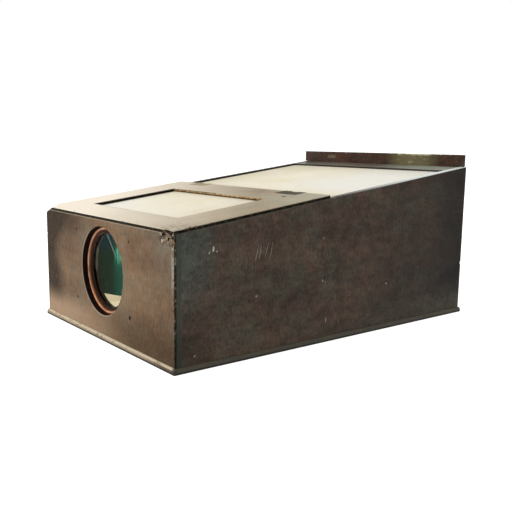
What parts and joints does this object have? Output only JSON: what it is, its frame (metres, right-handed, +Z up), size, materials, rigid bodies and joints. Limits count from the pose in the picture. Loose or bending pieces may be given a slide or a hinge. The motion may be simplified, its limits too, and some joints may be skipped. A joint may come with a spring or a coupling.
{
  "type": "optical viewing box",
  "caption": "Low wedge-shaped wooden box with a round lens in its front board, glazed windows in its sloping top and a lift-out view slide at the rear.",
  "frame": {"origin": "middle of the base board's underside, which is the middle of the bounding box's bottom face", "axes": "+Z up, -Y the front with the lens, +Y the rear with the view slide, +X the right side seen from the front"},
  "size_m": [0.4366, 0.6426, 0.2973],
  "materials": {
    "base_moulding": "satin",
    "front_mahogany": "worn polish",
    "side_mahogany": "worn polish",
    "glue_block_pine": "bare",
    "lens_board_wood": "bare",
    "lens_glass": "polished",
    "turned_wood": "polished",
    "dark_iron": "rusted",
    "top_mahogany": "faded polish",
    "hinge_brass": "tarnished",
    "screw_brass": "tarnished",
    "ground_glass": "ground",
    "inner_wood": "bare",
    "slide_wood": "worn polish",
    "view_card_board": "matt",
    "sprig_steel": "dull",
    "wall_paper": "matt",
    "floor_paper": "matt",
    "screw_steel": "dull"
  },
  "bodies": {
    "box": {"base_board": "base_moulding", "front_board": "front_mahogany", "left_side_board": "side_mahogany", "right_side_board": "side_mahogany", "front_left_glue_block": "glue_block_pine", "front_right_glue_block": "glue_block_pine", "lens_board": "lens_board_wood", "lens": "lens_glass", "lens_ring": "turned_wood", "lens_board_nails": "dark_iron", "front_rail": "top_mahogany", "left_stile": "top_mahogany", "right_stile": "top_mahogany", "crossbar": "top_mahogany", "left_hinge_leaf": "hinge_brass", "right_hinge_leaf": "hinge_brass", "hinge_screws": "screw_brass", "front_pane": "ground_glass", "front_pane_front_bead": "inner_wood", "front_pane_rear_bead": "inner_wood", "front_pane_left_bead": "inner_wood", "front_pane_right_bead": "inner_wood", "mid_bar": "inner_wood", "rear_pane": "ground_glass", "left_pane_bearer": "inner_wood", "right_pane_bearer": "inner_wood", "rear_crossrail": "inner_wood", "left_front_guide": "inner_wood", "right_front_guide": "inner_wood", "left_rear_guide": "inner_wood", "right_rear_guide": "inner_wood", "left_wall_lining": "wall_paper", "right_wall_lining": "wall_paper", "floor_lining": "floor_paper", "lid_pins": "dark_iron", "base_screws": "screw_steel"},
    "view_slide": {"slide_rail": "slide_wood", "slide_left_stile": "slide_wood", "slide_right_stile": "slide_wood", "slide_bottom_rail": "slide_wood", "view_card": "view_card_board", "card_sprigs": "sprig_steel"}
  },
  "joints": [
    {"name": "view_slide_lift", "type": "slide", "parent": "box", "child": "view_slide", "axis": [0, 0, 1], "range_m": [0, 0.26]}
  ]
}
